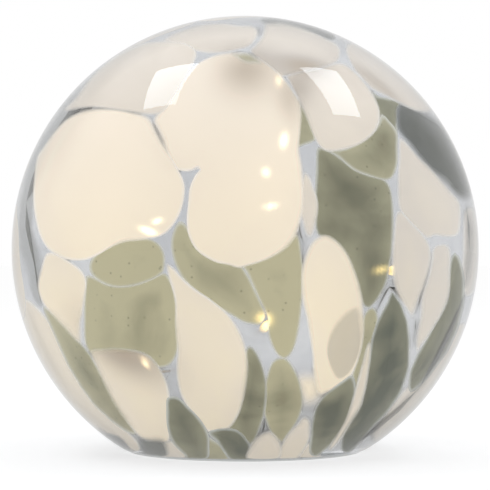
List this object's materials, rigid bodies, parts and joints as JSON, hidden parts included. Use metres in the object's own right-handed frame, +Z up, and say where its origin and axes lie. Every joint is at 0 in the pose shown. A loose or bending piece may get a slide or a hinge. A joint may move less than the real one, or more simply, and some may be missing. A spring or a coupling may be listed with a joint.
{
  "type": "glass ball light",
  "caption": "Mottled glass ball light that stands over a round battery base, with a string of small lights inside, a hinged battery door and a slide switch.",
  "frame": {"origin": "on the axis of the ball, at the underside of the foot", "axes": "+Z up along the ball's axis, -Y towards the front, +X to the right"},
  "size_m": [0.15, 0.15, 0.1396],
  "materials": {
    "mottled_glass": "clear glass with ivory and olive grey spots fused in",
    "silicone": "translucent matt silicone",
    "white_plastic": "fine matt moulding",
    "grey_rubber": "matt",
    "screw_steel": "zinc plated",
    "cell_jacket": "printed jacket, left plain",
    "nickel": "nickel plated",
    "board_green": "solder mask",
    "black_plastic": "matt",
    "black_insulation": "satin",
    "red_insulation": "satin",
    "string_wire": "lacquered fine wire",
    "clear_resin": "clear drop",
    "light_chip": "yellow phosphor"
  },
  "bodies": {
    "lamp": {"glass_ball": "mottled_glass", "seal_ring": "silicone", "housing_body": "white_plastic", "lid_gasket": "grey_rubber", "housing_lid": "white_plastic", "lid_screws": "screw_steel", "wire_grommet": "grey_rubber", "hinge_pin": "screw_steel", "battery_cell_1": "cell_jacket", "battery_cell_2": "cell_jacket", "battery_cell_3": "cell_jacket", "contact_plates": "nickel", "contact_springs": "nickel", "circuit_board": "board_green", "board_screws": "screw_steel", "timer_chip": "black_plastic", "timer_crystal": "nickel", "board_resistors": "black_plastic", "switch_body": "nickel", "negative_lead": "black_insulation", "positive_lead": "red_insulation", "led_wire": "string_wire", "led_beads": "clear_resin", "led_chips": "light_chip"},
    "door": {"battery_door": "white_plastic", "door_gasket": "grey_rubber"},
    "door_fastener": {"door_screw": "screw_steel"},
    "slider": {"switch_slider": "black_plastic"}
  },
  "joints": [
    {"name": "door_hinge", "type": "hinge", "parent": "lamp", "child": "door", "pos_m": [-0.02738, 0, 0.0025], "axis": [0, 1, 0], "range_deg": [0, 95]},
    {"name": "door_screw_turn", "type": "hinge", "parent": "door", "child": "door_fastener", "pos_m": [0.02757, 0, 0.0012], "axis": [0, 0, 1], "continuous": true},
    {"name": "switch_slide", "type": "slide", "parent": "lamp", "child": "slider", "axis": [1, 0, 0], "range_m": [0, 0.004]}
  ]
}
